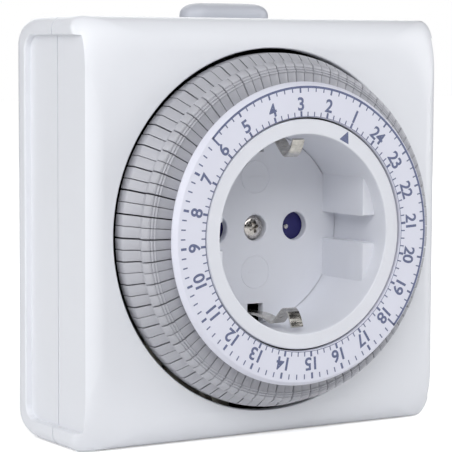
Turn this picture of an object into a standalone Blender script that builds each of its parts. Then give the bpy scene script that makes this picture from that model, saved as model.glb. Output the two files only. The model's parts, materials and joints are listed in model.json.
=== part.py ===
"""Mechanical 24-hour socket timer: a plug-in timer with a round earthed outlet inside its dial.

World axes: +X right, +Y towards the wall, +Z up, metres.  The origin is the centre of the plug's
engagement face.  Shapes are written in "case millimetres" (x, depth, z), where depth runs from the
housing's flat front, 0, towards the wall.  The dial, the outlet and the plug share the axis x = z = 0.
"""
import math

import bmesh
import bpy
from mathutils import Vector

MM = 0.001
GAP = 0.3                     # smallest gap between neighbouring pieces
CHORDS = 48                   # chords in a large circle
SMALL_CHORDS = 16             # chords in a small circle

# housing
CASE_WIDTH = 85.0
CASE_HEIGHT = 83.4
CASE_DEPTH = 30.3
CASE_RISE = 0.2               # height of the housing's centre above the dial's axis
CASE_CORNER = 2.5             # corner radius seen from the front, at the joint between the shells
FRONT_CORNER, REAR_CORNER = 14.0, 8.0      # and at the flat front and back
SIDE_EDGE = 4.8               # how far the front edge's rounding reaches in from the sides
TOP_EDGE = 6.6                # and from the top and bottom
EDGE_DEPTH = 5.5
REAR_EDGE = 4.3               # radius of the rear edges at the sides
REAR_REACH, REAR_DROP = 10.4, 2.8      # the longer, shallower rounding at the top and bottom
REAR_STEPS = 6
WALL = 2.2
INNER_CORNER = 1.5
PARTING = 12.8                # depth of the joint between the two shells
POCKET = 1.3                  # depth of the shallow pocket in each side
POCKET_REAR = 24.3
POCKET_LOW, POCKET_HIGH = -37.5, 38.3
OPENING_R = 36.0

# outlet, sized for a 36.8 mm round earthed plug
RECESS_R = 19.43
BEZEL_R = 22.46
BEZEL_FRONT = -11.5
BEZEL_BACK = -10.3
CUP_R = 20.9
FLOOR = 6.3
FLOOR_BACK = 8.0
PIN_X = 9.5                   # half of the 19 mm pin spacing
PIN_HOLE_R = 2.85
GUIDE_X = 16.4
GUIDE_LOW, GUIDE_FRONT = 2.7, -7.8
EARTH_SLOT = 1.85             # half width
EARTH_SLOT_LOW, EARTH_SLOT_HIGH = 15.3, 19.1

# dial and tabs
DIAL_R = 29.63
DIAL_BORE = 22.76
DIAL_FRONT = -11.85
DIAL_EDGE = -10.79
DIAL_BACK = BEZEL_BACK
HOURS = 24
TABS_PER_HOUR = 4
TAB_PITCH = math.radians(360 / HOURS / TABS_PER_HOUR)
TAB_FRONT = DIAL_BACK + GAP
TAB_ROOT_R = 27.0
TAB_TAIL = 0.8
DIAL_TURN = math.radians(-3.67)   # where hour 3's tab border stands, clockwise from the top

# plug
PLUG_DEPTH = 17.0
PLUG_R = 18.4
PIN_R = 2.4
PIN_LENGTH = 19.0
FACE = CASE_DEPTH + PLUG_DEPTH
PIN_TAIL = 24.5

# gear train: the dial's gear, a double gear and the motor's pinion
DIAL_TEETH, SLOW_TEETH, SLOW_MODULE = 50, 10, 1.0
FAST_TEETH, MOTOR_TEETH, FAST_MODULE = 32, 10, 0.6
SLOW_CENTRES = (DIAL_TEETH + SLOW_TEETH) * SLOW_MODULE / 2
FAST_CENTRES = (FAST_TEETH + MOTOR_TEETH) * FAST_MODULE / 2
TRAIN_ANGLE = math.radians(250)
MOTOR_ANGLE = math.radians(160)
TRAIN = Vector((SLOW_CENTRES * math.cos(TRAIN_ANGLE), SLOW_CENTRES * math.sin(TRAIN_ANGLE)))
MOTOR = TRAIN + FAST_CENTRES * Vector((math.cos(MOTOR_ANGLE), math.sin(MOTOR_ANGLE)))
MOTOR_R = 12.0
MOTOR_CAN_BACK = 24.8
AXLE_R = 1.0

# override button, its switch and the corner screws
BUTTON_DEPTH = 18.6
BUTTON_LENGTH, BUTTON_WIDTH, BUTTON_CORNER = 19.6, 8.4, 3.9
BUTTON_TOP = 45.4
SHELF_TOP = 30.7
LEVER_PIVOT = (14.2, 23.6)    # depth and z
FEELER_X, FEELER_Z = 13.6, 27.9
SCREW_X, SCREW_Z = 35.5, 34.6

MANIFOLD_PIECES = ("rear_housing", "socket_insert")      # the exact solver leaves these open

WHITE = (0.84, 0.85, 0.87)
INNER_WHITE = (0.80, 0.82, 0.85)
DIAL_WHITE = (0.82, 0.83, 0.90)
TAB_GREY = (0.58, 0.58, 0.58)
BUTTON_GREY = (0.58, 0.59, 0.65)
NICKEL = (0.72, 0.70, 0.66)
BRASS = (0.78, 0.62, 0.30)
STEEL = (0.62, 0.62, 0.62)
BLUE = (0.03, 0.03, 0.30)
BLACK = (0.03, 0.03, 0.03)
ACETAL = (0.86, 0.84, 0.76)


# ---------------------------------------------------------------- building blocks

def point(x, depth, z):
    """World position of a place in case millimetres."""
    return Vector((x, depth - FACE, z)) * MM


def material(name, colour, roughness, metallic=0.0):
    made = bpy.data.materials.new(name)
    made.use_nodes = True
    shader = made.node_tree.nodes["Principled BSDF"]
    shader.inputs["Base Color"].default_value = (*colour, 1.0)
    shader.inputs["Roughness"].default_value = roughness
    shader.inputs["Metallic"].default_value = metallic
    made.diffuse_color = (*colour, 1.0)
    return made


def add_object(name, shape, look=None, pivot=(0, FACE, 0), smooth=40):
    """Turn a bmesh in world metres into an object whose origin is at the pivot."""
    bmesh.ops.remove_doubles(shape, verts=shape.verts, dist=1e-7)
    bmesh.ops.recalc_face_normals(shape, faces=shape.faces)
    origin = point(*pivot)
    bmesh.ops.translate(shape, verts=shape.verts, vec=-origin)
    mesh = bpy.data.meshes.new(name)
    shape.to_mesh(mesh)
    shape.free()
    mesh.shade_smooth()
    mesh.set_sharp_from_angle(angle=math.radians(smooth))
    made = bpy.data.objects.new(name, mesh)
    made.location = origin
    bpy.context.scene.collection.objects.link(made)
    if look:
        mesh.materials.append(look)
    return made


def combine(base, tool, operation):
    """Add a Boolean to base and keep tool as a hidden guide."""
    step = base.modifiers.new(tool.name, "BOOLEAN")
    step.operation = operation
    step.solver = "MANIFOLD" if base.name in MANIFOLD_PIECES else "EXACT"
    step.object = tool
    tool.display_type = "WIRE"
    tool.hide_render = True


def cut(base, *tools):
    for tool in tools:
        combine(base, tool, "DIFFERENCE")


def join(base, *tools):
    for tool in tools:
        combine(base, tool, "UNION")


def loft(sections):
    """Closed skin through sections of equal point count, with both ends capped."""
    shape = bmesh.new()
    rings = [[shape.verts.new(place) for place in section] for section in sections]
    count = len(rings[0])
    for near, far in zip(rings, rings[1:]):
        for i in range(count):
            j = (i + 1) % count
            shape.faces.new((near[i], near[j], far[j], far[i]))
    shape.faces.new(rings[0])
    shape.faces.new(rings[-1])
    return shape


def turned(profile, chords=CHORDS, centre=(0, 0)):
    """Turn a closed outline of (radius, depth) about the Y axis through centre."""
    shape = bmesh.new()
    step = 2 * math.pi / chords
    rings = []
    for radius, depth in profile:
        if radius == 0:
            rings.append([shape.verts.new(point(centre[0], depth, centre[1]))] * chords)
            continue
        rings.append([shape.verts.new(point(centre[0] + radius * math.cos((i + 0.5) * step), depth,
                                            centre[1] + radius * math.sin((i + 0.5) * step)))
                      for i in range(chords)])
    for near, far in zip(rings, rings[1:] + rings[:1]):
        for i in range(chords):
            j = (i + 1) % chords
            corners = list(dict.fromkeys((near[i], near[j], far[j], far[i])))
            if len(corners) > 2:
                shape.faces.new(corners)
    return shape


def prism(loops, low, high, place):
    """Extrude an outline, with holes, between two levels; place(a, b, level) gives world points."""
    shape = bmesh.new()
    caps = []
    for level in (low, high):
        rings = [[shape.verts.new(place(a, b, level)) for a, b in loop] for loop in loops]
        edges = [shape.edges.new((ring[i - 1], ring[i])) for ring in rings for i in range(len(ring))]
        bmesh.ops.triangle_fill(shape, edges=edges, use_beauty=True)
        caps.append(rings)
    for near, far in zip(*caps):
        for i in range(len(near)):
            shape.faces.new((near[i - 1], near[i], far[i], far[i - 1]))
    return shape


def along_depth(a, b, level):
    return point(a, level, b)


def along_x(a, b, level):
    return point(level, a, b)


def along_z(a, b, level):
    return point(a, b, level)


def box(x, depth, z):
    """Block between two limits on each axis."""
    return prism([[(x[0], z[0]), (x[1], z[0]), (x[1], z[1]), (x[0], z[1])]], depth[0], depth[1], along_depth)


def arc(centre, radius, start, end, steps):
    """Points on an arc between two angles, both ends included."""
    turns = [start + (end - start) * i / steps for i in range(steps + 1)]
    return [(centre[0] + radius * math.cos(turn), centre[1] + radius * math.sin(turn)) for turn in turns]


def circle(centre, radius, chords=SMALL_CHORDS):
    return arc(centre, radius, 0, 2 * math.pi, chords)[:-1]


def rounded_rectangle(half_width, half_height, radius, centre=(0, 0), steps=5):
    outline = []
    for corner, (side, end) in enumerate(((1, 1), (-1, 1), (-1, -1), (1, -1))):
        middle = (centre[0] + side * (half_width - radius), centre[1] + end * (half_height - radius))
        outline += arc(middle, radius, corner * math.pi / 2, (corner + 1) * math.pi / 2, steps)
    return outline


def hull_of_circles(first, first_r, second, second_r, steps=10):
    """Outline of a belt round two circles."""
    line = second - first
    lean = math.acos((first_r - second_r) / line.length)
    heading = math.atan2(line.y, line.x)
    return (arc(second, second_r, heading - lean, heading + lean, steps)
            + arc(first, first_r, heading + lean, heading + 2 * math.pi - lean, steps))


def ribbon(path, widths, thickness):
    """Bent strip: path holds (depth, z) along the middle of its thickness, widths run along X."""
    spots = [Vector(place) for place in path]
    sections = []
    for i, spot in enumerate(spots):
        before = (spot - spots[i - 1]).normalized() if i else None
        after = (spots[i + 1] - spot).normalized() if i + 1 < len(spots) else None
        ahead = ((before or after) + (after or before)).normalized()
        side = Vector((-ahead.y, ahead.x))
        square = side.dot(Vector((-(after or before).y, (after or before).x)))
        reach = side * thickness / 2 / max(square, 0.5)
        half = widths[i] / 2
        low, high = spot - reach, spot + reach
        sections.append([point(-half, *low), point(half, *low), point(half, *high), point(-half, *high)])
    return loft(sections)


def coil(centre, radius, wire, low, high, turns, place, steps=12, sides=5):
    """Round wire wound between two levels; place maps (a, b, level) to world points."""
    sections = []
    count = int(turns * steps)
    for i in range(count + 1):
        turn = 2 * math.pi * i / steps
        level = low + wire + (high - low - 2 * wire) * i / count
        sections.append([place(centre[0] + (radius + wire * math.cos(face)) * math.cos(turn),
                               centre[1] + (radius + wire * math.cos(face)) * math.sin(turn),
                               level + wire * math.sin(face))
                         for face in (2 * math.pi * k / sides for k in range(sides))])
    return loft(sections)


def gear_outline(teeth, module, centre=(0, 0), phase=0.0):
    """Spur gear outline: involute flanks at 25 degrees, thinned for backlash; a tooth is at phase."""
    pitch_r = teeth * module / 2
    base_r = pitch_r * math.cos(math.radians(25))
    root_r, tip_r = pitch_r - 1.1 * module, pitch_r + 0.8 * module
    half_pitch_tooth = 0.44 * math.pi / teeth

    def involute(radius):
        lean = math.acos(min(1.0, base_r / radius))
        return math.tan(lean) - lean

    def half_angle(radius):
        return half_pitch_tooth + involute(pitch_r) - involute(max(radius, base_r))

    radii = (root_r, pitch_r, tip_r)
    outline = []
    for tooth in range(teeth):
        middle = phase + 2 * math.pi * tooth / teeth
        flank = [(radius, half_angle(radius)) for radius in radii]
        for radius, half in flank:
            outline.append((centre[0] + radius * math.cos(middle - half),
                            centre[1] + radius * math.sin(middle - half)))
        for radius, half in reversed(flank):
            outline.append((centre[0] + radius * math.cos(middle + half),
                            centre[1] + radius * math.sin(middle + half)))
    return outline


def meshing_phase(teeth, other_teeth, other_phase, heading):
    """Phase that puts this gear's gap on the other gear's tooth; heading runs from other to this."""
    offset = (other_phase - heading) * other_teeth
    return heading + math.pi - offset / teeth + math.pi / teeth


def screw(name, look, head_r, head, shank_r, tip, away, centre=(0, 0)):
    """Pan-head screw along the depth axis, with a cross recess; away is 1 for a head towards the wall."""
    edge = 0.35 * abs(head[1] - head[0])
    body = turned([(0, head[0]), (head_r - edge, head[0]), (head_r, head[0] - away * edge),
                   (head_r, head[1]), (shank_r, head[1]), (shank_r, tip + away * shank_r),
                   (0.3, tip), (0, tip)], SMALL_CHORDS, centre)
    made = add_object(name, body, look)
    arm, half = 0.72 * head_r, 0.14 * head_r
    corners = [(half, half), (half, arm), (-half, arm), (-half, half), (-arm, half), (-arm, -half),
               (-half, -half), (-half, -arm), (half, -arm), (half, -half), (arm, -half), (arm, half)]
    cross = [(centre[0] + a, centre[1] + b) for a, b in corners]
    depths = sorted((head[0] + away * 0.5, head[0] - away * 0.55 * abs(head[1] - head[0])))
    cut(made, add_object(name + "_recess", prism([cross], *depths, along_depth)))


# ---------------------------------------------------------------- housing

def case_section(depth, inset_x, inset_z, corner):
    """Rounded rectangle of the housing at one depth."""
    outline = rounded_rectangle(CASE_WIDTH / 2 - inset_x, CASE_HEIGHT / 2 - inset_z, corner, (0, CASE_RISE))
    return [point(x, depth, z) for x, z in outline]


def inner_sections(first, last):
    """The hollow's two ends."""
    return [case_section(depth, WALL, WALL, INNER_CORNER) for depth in (first, last)]


def screw_places():
    return [(side * SCREW_X, CASE_RISE + end * SCREW_Z) for side in (-1, 1) for end in (-1, 1)]


def side_pockets(name):
    """Cutters of the shallow pockets, open towards the front."""
    corner = 3.0
    outline = ([(-1.0, POCKET_LOW)]
               + arc((POCKET_REAR - corner, POCKET_LOW + corner), corner, -math.pi / 2, 0, 4)
               + arc((POCKET_REAR - corner, POCKET_HIGH - corner), corner, 0, math.pi / 2, 4)
               + [(-1.0, POCKET_HIGH)])
    floor, outside = CASE_WIDTH / 2 - POCKET, CASE_WIDTH / 2 + 1
    levels = {"left": (-outside, -floor), "right": (floor, outside)}
    return [add_object(f"{name}_pocket_{side}", prism([outline], *span, along_x))
            for side, span in levels.items()]


def build_front_housing(look):
    end = PARTING - GAP / 2
    sections = []
    for step in range(5):
        turn = math.radians(90 * step / 4)
        away = 1 - math.sin(turn)
        corner = CASE_CORNER + (FRONT_CORNER - CASE_CORNER) * away
        depth = EDGE_DEPTH * (1 - math.cos(turn))
        sections.append(case_section(depth, SIDE_EDGE * away, TOP_EDGE * away, corner))
    sections.append(case_section(end, 0, 0, CASE_CORNER))
    shell = add_object("front_housing", loft(sections + inner_sections(end, WALL)), look)
    for number, (x, z) in enumerate(screw_places(), 1):
        post = turned([(0, 1.2), (3.2, 1.2), (3.2, end - GAP), (0, end - GAP)], SMALL_CHORDS, (x, z))
        join(shell, add_object(f"front_post_{number}", post))
        pilot = turned([(0, 4.0), (1.5, 4.0), (1.5, end + 1), (0, end + 1)], SMALL_CHORDS, (x, z))
        cut(shell, add_object(f"front_pilot_{number}", pilot))
    opening = turned([(0, -1), (OPENING_R, -1), (OPENING_R, WALL + 1), (0, WALL + 1)], 72)
    cut(shell, add_object("front_opening", opening), *side_pockets("front"))
    return shell


def plug_outline():
    """Round plug with flats for the guide blocks, a rib on each side and an earth notch at each end."""
    rib, flat, notch, notch_floor = 2.3, 16.0, 3.2, 15.7
    first, last = math.acos(flat / PLUG_R), math.acos(notch / PLUG_R)
    outline = []
    for side, end in ((1, 1), (-1, 1), (-1, -1), (1, -1)):
        corner = [(math.sqrt(PLUG_R ** 2 - rib ** 2), rib), (flat, rib)]
        corner += arc((0, 0), PLUG_R, first, last, 8) + [(notch, notch_floor)]
        placed = [(side * x, end * z) for x, z in corner]
        outline += placed if side * end > 0 else placed[::-1]
    return outline


def rear_section(turn):
    """One step of the rear rounding, which starts earlier at the top and bottom than at the sides."""
    away = 1 - math.cos(turn)
    depth = CASE_DEPTH - REAR_REACH * (1 - math.sin(turn))
    near = max(0.0, 1 - (CASE_DEPTH - depth) / REAR_EDGE)
    side_inset = REAR_EDGE * (1 - math.sqrt(1 - near ** 2))
    return case_section(depth, side_inset, REAR_DROP * away, CASE_CORNER + (REAR_CORNER - CASE_CORNER) * away)


def build_rear_housing(look):
    start = PARTING + GAP / 2
    back = CASE_DEPTH - WALL
    sections = inner_sections(back, start)
    sections.append(case_section(start, 0, 0, CASE_CORNER))
    sections += [rear_section(math.radians(90 * step / REAR_STEPS)) for step in range(REAR_STEPS + 1)]
    shell = add_object("rear_housing", loft(sections), look)

    solids, hollows = [], []

    def add(name, shape):
        solids.append(add_object(name, shape))

    def hollow(name, shape):
        hollows.append(add_object(name, shape))

    add("plug_boss", loft([[point(x * size, depth, z * size) for x, z in plug_outline()]
                           for depth, size in ((back + 1, 1), (FACE - 0.8, 1), (FACE, 1 - 0.8 / PLUG_R))]))
    add("centre_post", turned([(0, 10.6), (4.0, 10.6), (4.0, back + 1.1), (0, back + 1.1)], SMALL_CHORDS))
    add("button_shelf", box((-6, 6), (14.6, back + 1), (SHELF_TOP - 1.2, SHELF_TOP)))
    hollow("centre_bore", turned([(0, 9), (1.5, 9), (1.5, 25.5), (0, 25.5)], SMALL_CHORDS))
    for side in (-1, 1):
        add(f"pin_tower_{side + 1}", turned([(0, 25.6), (3.9, 25.6), (3.9, back + 1.2), (0, back + 1.2)],
                                            SMALL_CHORDS, (side * PIN_X, 0)))
        hole_r = PIN_R + GAP
        hollow(f"pin_hole_{side + 1}", turned([(0, 24), (hole_r, 24), (hole_r, FACE + 1), (0, FACE + 1)],
                                              SMALL_CHORDS, (side * PIN_X, 0)))
    for number, (x, z) in enumerate(screw_places(), 1):
        low, high = start + GAP, back + 1
        post = turned([(0, low), (3.9, low), (3.9, high), (0, high)], SMALL_CHORDS, (x, z))
        add(f"rear_post_{number}", post)
        low, high = start - 1, CASE_DEPTH + 1
        bore = turned([(0, low), (1.6, low), (1.6, 24.5), (3.0, 24.5), (3.0, high), (0, high)],
                      SMALL_CHORDS, (x, z))
        hollow(f"rear_bore_{number}", bore)
    for end in (-1, 1):
        lean = math.asin(4.7 / 14.4)
        pocket = arc((0, 0), 14.4, end * lean, end * (math.pi - lean), 12)
        hollow(f"plug_pocket_{end + 1}", prism([pocket], back - 1, FACE - 3, along_depth))
        hollow(f"earth_slot_{end + 1}", box((-2.8, 2.8), (back - 1, CASE_DEPTH + 1),
                                            sorted((end * 15.8, end * 18.2))))
    hollow("stem_hole", box((-2, 2), (BUTTON_DEPTH - 2, BUTTON_DEPTH + 2), (SHELF_TOP - 2, SHELF_TOP + 1)))
    outline = rounded_rectangle(BUTTON_LENGTH / 2 + GAP, BUTTON_WIDTH / 2 + GAP, BUTTON_CORNER + GAP,
                                (0, BUTTON_DEPTH))
    hollow("button_hole", prism([outline], 36.0, 44.0, along_z))
    join(shell, *solids)
    cut(shell, *hollows, *side_pockets("rear"))
    return shell


def build_case_screws(look):
    for number, place in enumerate(screw_places(), 1):
        screw(f"case_screw_{number}", look, 2.6, (26.8, 24.8), 1.2, 5.0, 1, place)


# ---------------------------------------------------------------- outlet

def guide_outline(side, end):
    """Outline of one guide block, from its flat inner face into the cup's wall."""
    radius = (RECESS_R + CUP_R) / 2
    low, high = math.asin(GUIDE_LOW / radius), math.acos(GUIDE_X / radius)
    outer = [(radius * math.cos(turn), radius * math.sin(turn))
             for turn in (low + (high - low) * i / 4 for i in range(5))]
    return [(side * x, end * z) for x, z in [(GUIDE_X, GUIDE_LOW)] + outer]


def build_socket_insert(look):
    profile = [(0, FLOOR), (RECESS_R, FLOOR), (RECESS_R, BEZEL_FRONT + 0.3), (RECESS_R + 0.3, BEZEL_FRONT),
               (BEZEL_R - 0.3, BEZEL_FRONT), (BEZEL_R, BEZEL_FRONT + 0.3), (BEZEL_R, BEZEL_BACK),
               (CUP_R, BEZEL_BACK), (CUP_R, FLOOR_BACK), (4.0, FLOOR_BACK), (4.0, 10.2), (0, 10.2)]
    insert = add_object("socket_insert", turned(profile), look)
    for side in (-1, 1):
        for end in (-1, 1):
            block = prism([guide_outline(side, end)], GUIDE_FRONT, FLOOR + 0.4, along_depth)
            join(insert, add_object(f"guide_{side + 1}{end + 1}", block))
        low, high = FLOOR - 1, FLOOR_BACK + 1
        hole = turned([(0, low), (PIN_HOLE_R, low), (PIN_HOLE_R, high), (0, high)],
                      SMALL_CHORDS, (side * PIN_X, 0))
        cut(insert, add_object(f"outlet_hole_{side + 1}", hole))
    bore = turned([(0, FLOOR - 1), (2.65, FLOOR - 1), (2.65, 8.2), (1.5, 8.2), (1.5, 11), (0, 11)],
                  SMALL_CHORDS)
    cut(insert, add_object("insert_bore", bore))
    for end in (-1, 1):
        slot = box((-EARTH_SLOT, EARTH_SLOT), (FLOOR - 1, FLOOR_BACK + 1),
                   sorted((end * EARTH_SLOT_LOW, end * EARTH_SLOT_HIGH)))
        cut(insert, add_object(f"insert_slot_{end + 1}", slot))
    return insert


def build_shutter(look, spring_look):
    """Blue vane that closes both pin holes and turns aside on the centre boss."""
    reach, half, hub = 13.2, 3.4, 5.6
    hub_turn = math.asin(half / hub)
    tip_turn = math.asin(half / reach)
    outline = []
    for base in (0, math.pi):
        outline += arc((0, 0), reach, base - tip_turn, base + tip_turn, 4)
        outline += arc((0, 0), hub, base + hub_turn, base + math.pi - hub_turn, 5)
    shape = prism([outline, circle((0, 0), 4.0 + GAP)], FLOOR_BACK + GAP, 9.8, along_depth)
    add_object("shutter", shape, look)
    spring = coil((0, 0), 5.1, 0.25, 10.1, 11.7, 2, along_depth)
    add_object("shutter_spring", spring, spring_look)


def build_contacts(brass, nickel):
    """Spring clips behind the pin holes, the plug's pins and the bars that link them."""
    leaf, inner = 0.6, 2.2
    for name, side, back in (("live_contact", 1, 21.5), ("neutral_contact", -1, 24.2)):
        outer = inner + leaf
        outline = [(-outer, -4), (-inner, -4), (-inner, 3), (inner, 3), (inner, -4), (outer, -4),
                   (outer, 3 + leaf), (-outer, 3 + leaf)]
        shape = prism([[(side * PIN_X + a, b) for a, b in outline]], 10.9, back, along_depth)
        add_object(name, shape, brass)
    for name, side in (("live_pin", 1), ("neutral_pin", -1)):
        tip = FACE + PIN_LENGTH
        pin = turned([(0, PIN_TAIL), (PIN_R, PIN_TAIL), (PIN_R, tip - 1.6), (PIN_R * 0.8, tip - 0.5),
                      (PIN_R * 0.4, tip), (0, tip)], SMALL_CHORDS, (side * PIN_X, 0))
        add_object(name, pin, nickel)
    live = [(PIN_X - 2.2, -2.2), (PIN_X + 2.2, -2.2), (PIN_X + 2.2, 19), (PIN_X - 2.2, 19)]
    add_object("live_busbar", prism([live], PIN_TAIL - GAP - 0.8, PIN_TAIL - GAP, along_depth), brass)
    switched = [(PIN_X - 2.2, 0), (21, 0), (21, 19), (17, 19), (17, 4), (PIN_X - 2.2, 4)]
    add_object("switched_busbar", prism([switched], 21.8, 22.6, along_depth), brass)


def build_earth(nickel):
    """Two straps, from the outlet's side clips to the plug's side contacts, and their bridge."""
    path = [(-8.7, 17.8), (-6.9, 15.35), (-6.2, 15.1), (-5.4, 15.35), (-2.4, 18.0), (-1.2, 18.2), (1.4, 17.5),
            (4.0, 17.2), (CASE_DEPTH - 0.6, 17.2), (CASE_DEPTH + 1.5, 16.6), (FACE - 9, 17.0),
            (FACE - 4.0, 16.9), (FACE - 1.5, 16.2)]
    widths = [2.8] * 9 + [5.0] * 4
    for name, end in (("earth_strap_top", 1), ("earth_strap_bottom", -1)):
        add_object(name, ribbon([(depth, end * z) for depth, z in path], widths, 0.6), nickel, smooth=60)
    outer, inner, reach = 6.6, 4.6, 16.9 - GAP
    outline = [(-1.4, -reach), (outer, -reach), (outer, reach), (-1.4, reach), (-1.4, reach - 2),
               (inner, reach - 2), (inner, 2 - reach), (-1.4, 2 - reach)]
    add_object("earth_bridge", prism([outline], 12.6, 13.4, along_depth), nickel)


# ---------------------------------------------------------------- dial

def tab_profile():
    """Outline of one tab as (radius, depth): root, face under the dial, bevel, finger groove and skirt."""
    return [(TAB_ROOT_R, TAB_FRONT), (27.8, TAB_FRONT), (28.0, -8.3), (31.4, -7.8), (32.9, -7.35),
            (33.6, -6.2), (33.25, -4.9), (35.12, -1.35), (35.25, TAB_TAIL), (27.6, TAB_TAIL), (TAB_ROOT_R, 0)]


def round_axis(radius, depth, turn):
    """World point at an angle clockwise from the top, seen from the front."""
    return point(radius * math.sin(turn), depth, radius * math.cos(turn))


def build_dial(face_look, wheel_look):
    face = turned([(DIAL_BORE, DIAL_FRONT), (28.9, DIAL_FRONT), (DIAL_R, DIAL_EDGE), (DIAL_R, DIAL_BACK),
                   (DIAL_BORE, DIAL_BACK)], 72)
    add_object("dial_face", face, face_look)

    sleeve_r, bore_r, core_r, rib_r = 23.2, 21.3, 22.2, 26.6
    sleeve = turned([(bore_r, TAB_FRONT), (sleeve_r, TAB_FRONT), (sleeve_r, 5.9), (bore_r, 5.9)])
    wheel = add_object("tripper_wheel", sleeve, wheel_look)
    outline = []
    half_rib = 0.35
    for hour in range(HOURS):
        border = DIAL_TURN + 2 * math.pi * hour / HOURS
        for radius, side in ((22.7, -1), (rib_r, -1), (rib_r, 1), (22.7, 1)):
            turn = border + side * half_rib / radius
            outline.append((radius * math.sin(turn), radius * math.cos(turn)))
    ribs = prism([outline, circle((0, 0), core_r, CHORDS)], TAB_FRONT + 0.2, 3.0, along_depth)
    join(wheel, add_object("wheel_ribs", ribs))
    teeth = prism([gear_outline(DIAL_TEETH, SLOW_MODULE), circle((0, 0), core_r, CHORDS)],
                  3.7, 5.7, along_depth)
    join(wheel, add_object("wheel_teeth", teeth))
    ring = turned([(bore_r, 6.2), (24.4, 6.2), (24.4, 7.4), (bore_r, 7.4)])
    add_object("wheel_bearing_ring", ring, wheel_look)


def hour_group_mesh(look):
    """Four tabs on one carrier, centred at the top; every hour's group shares this mesh."""
    inner_gap = (GAP + 0.02) / TAB_ROOT_R
    half = (TAB_PITCH - inner_gap) / 2
    blades = bmesh.new()
    for number in range(TABS_PER_HOUR):
        middle = (number - (TABS_PER_HOUR - 1) / 2) * TAB_PITCH
        sides = [[blades.verts.new(round_axis(radius, depth, middle + side * half))
                  for radius, depth in tab_profile()] for side in (-1, 1)]
        for ring in sides:
            blades.faces.new(ring)
        for i in range(len(sides[0])):
            blades.faces.new((sides[0][i - 1], sides[0][i], sides[1][i], sides[1][i - 1]))
    group = add_object("hour_group", blades, look)
    reach = TAB_PITCH * TABS_PER_HOUR / 2 - math.radians(1.8)
    steps = 3
    turns = [reach * (2 * i / steps - 1) for i in range(steps + 1)]
    inner, outer, front, back = 24.0, TAB_ROOT_R + 0.5, -8.6, -2.4
    carrier = loft([[round_axis(*place, turn) for place in
                     ((inner, front), (outer, front), (outer, back), (inner, back))] for turn in turns])
    join(group, add_object("hour_carrier", carrier))
    bpy.context.view_layer.update()
    view = bpy.context.evaluated_depsgraph_get()
    mesh = bpy.data.meshes.new_from_object(group.evaluated_get(view), depsgraph=view)
    mesh.name = "tripper_hour"
    for leftover in ("hour_group", "hour_carrier"):
        bpy.data.objects.remove(bpy.data.objects[leftover])
    return mesh


def build_tabs(look):
    mesh = hour_group_mesh(look)
    for hour in range(1, HOURS + 1):
        made = bpy.data.objects.new(f"tripper_hour_{hour:02d}", mesh)
        middle = DIAL_TURN + 2 * math.pi * (3 - hour + 0.5) / HOURS
        made.rotation_euler = (0, middle, 0)
        bpy.context.scene.collection.objects.link(made)


# ---------------------------------------------------------------- movement and switch

def build_movement(acetal, steel, can_look):
    slow_phase = meshing_phase(SLOW_TEETH, DIAL_TEETH, 0.0, TRAIN_ANGLE)
    gear = turned([(AXLE_R + GAP, 3.5), (3.2, 3.5), (3.2, 10.2), (AXLE_R + GAP, 10.2)], SMALL_CHORDS, TRAIN)
    pivot = (TRAIN.x, FACE, TRAIN.y)
    double = add_object("reduction_gear", gear, acetal, pivot)
    ring = circle(TRAIN, 2.4)
    pinion = prism([gear_outline(SLOW_TEETH, SLOW_MODULE, TRAIN, slow_phase), ring], 3.6, 6.1, along_depth)
    join(double, add_object("reduction_pinion", pinion))
    wheel = prism([gear_outline(FAST_TEETH, FAST_MODULE, TRAIN, 0.0), ring], 8.6, 10.1, along_depth)
    join(double, add_object("reduction_wheel", wheel))
    axle = turned([(0, 3.4), (AXLE_R, 3.4), (AXLE_R, 12.4), (0, 12.4)], SMALL_CHORDS, TRAIN)
    add_object("gear_axle", axle, steel)

    fast_phase = meshing_phase(MOTOR_TEETH, FAST_TEETH, 0.0, MOTOR_ANGLE)
    pivot = (MOTOR.x, FACE, MOTOR.y)
    shaft = turned([(0, 8.3), (1.6, 8.3), (1.6, 10.5), (AXLE_R, 10.5), (AXLE_R, 14.2), (0, 14.2)],
                   SMALL_CHORDS, MOTOR)
    pinion = add_object("motor_pinion", shaft, acetal, pivot)
    teeth = prism([gear_outline(MOTOR_TEETH, FAST_MODULE, MOTOR, fast_phase)], 8.45, 10.35, along_depth)
    join(pinion, add_object("motor_pinion_teeth", teeth))

    plate = prism([hull_of_circles(MOTOR, MOTOR_R + 0.5, TRAIN, 5.0), circle(MOTOR, 2.0),
                   circle(TRAIN, AXLE_R + GAP)], 10.9, 12.1, along_depth)
    add_object("movement_plate", plate, steel)
    can = turned([(AXLE_R + GAP, 12.4), (4.0, 12.4), (4.0, 13.2), (MOTOR_R - 0.8, 13.2), (MOTOR_R, 14.0),
                  (MOTOR_R, MOTOR_CAN_BACK - 0.8), (MOTOR_R - 0.8, MOTOR_CAN_BACK), (0, MOTOR_CAN_BACK),
                  (0, 15.0), (AXLE_R + GAP, 15.0)], 32, MOTOR)
    add_object("motor_can", can, can_look)


def smooth_route(route, steps=3):
    """Points on a Catmull-Rom curve through the route."""
    spots = [Vector(place) for place in route]
    places = []
    for i, (start, end) in enumerate(zip(spots, spots[1:])):
        before, after = spots[max(i - 1, 0)], spots[min(i + 2, len(spots) - 1)]
        for k in range(steps):
            t = k / steps
            places.append(start + 0.5 * ((end - before) * t
                                         + (2 * before - 5 * start + 4 * end - after) * t ** 2
                                         + (3 * start - before - 3 * end + after) * t ** 3))
    return places + [spots[-1]]


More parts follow.
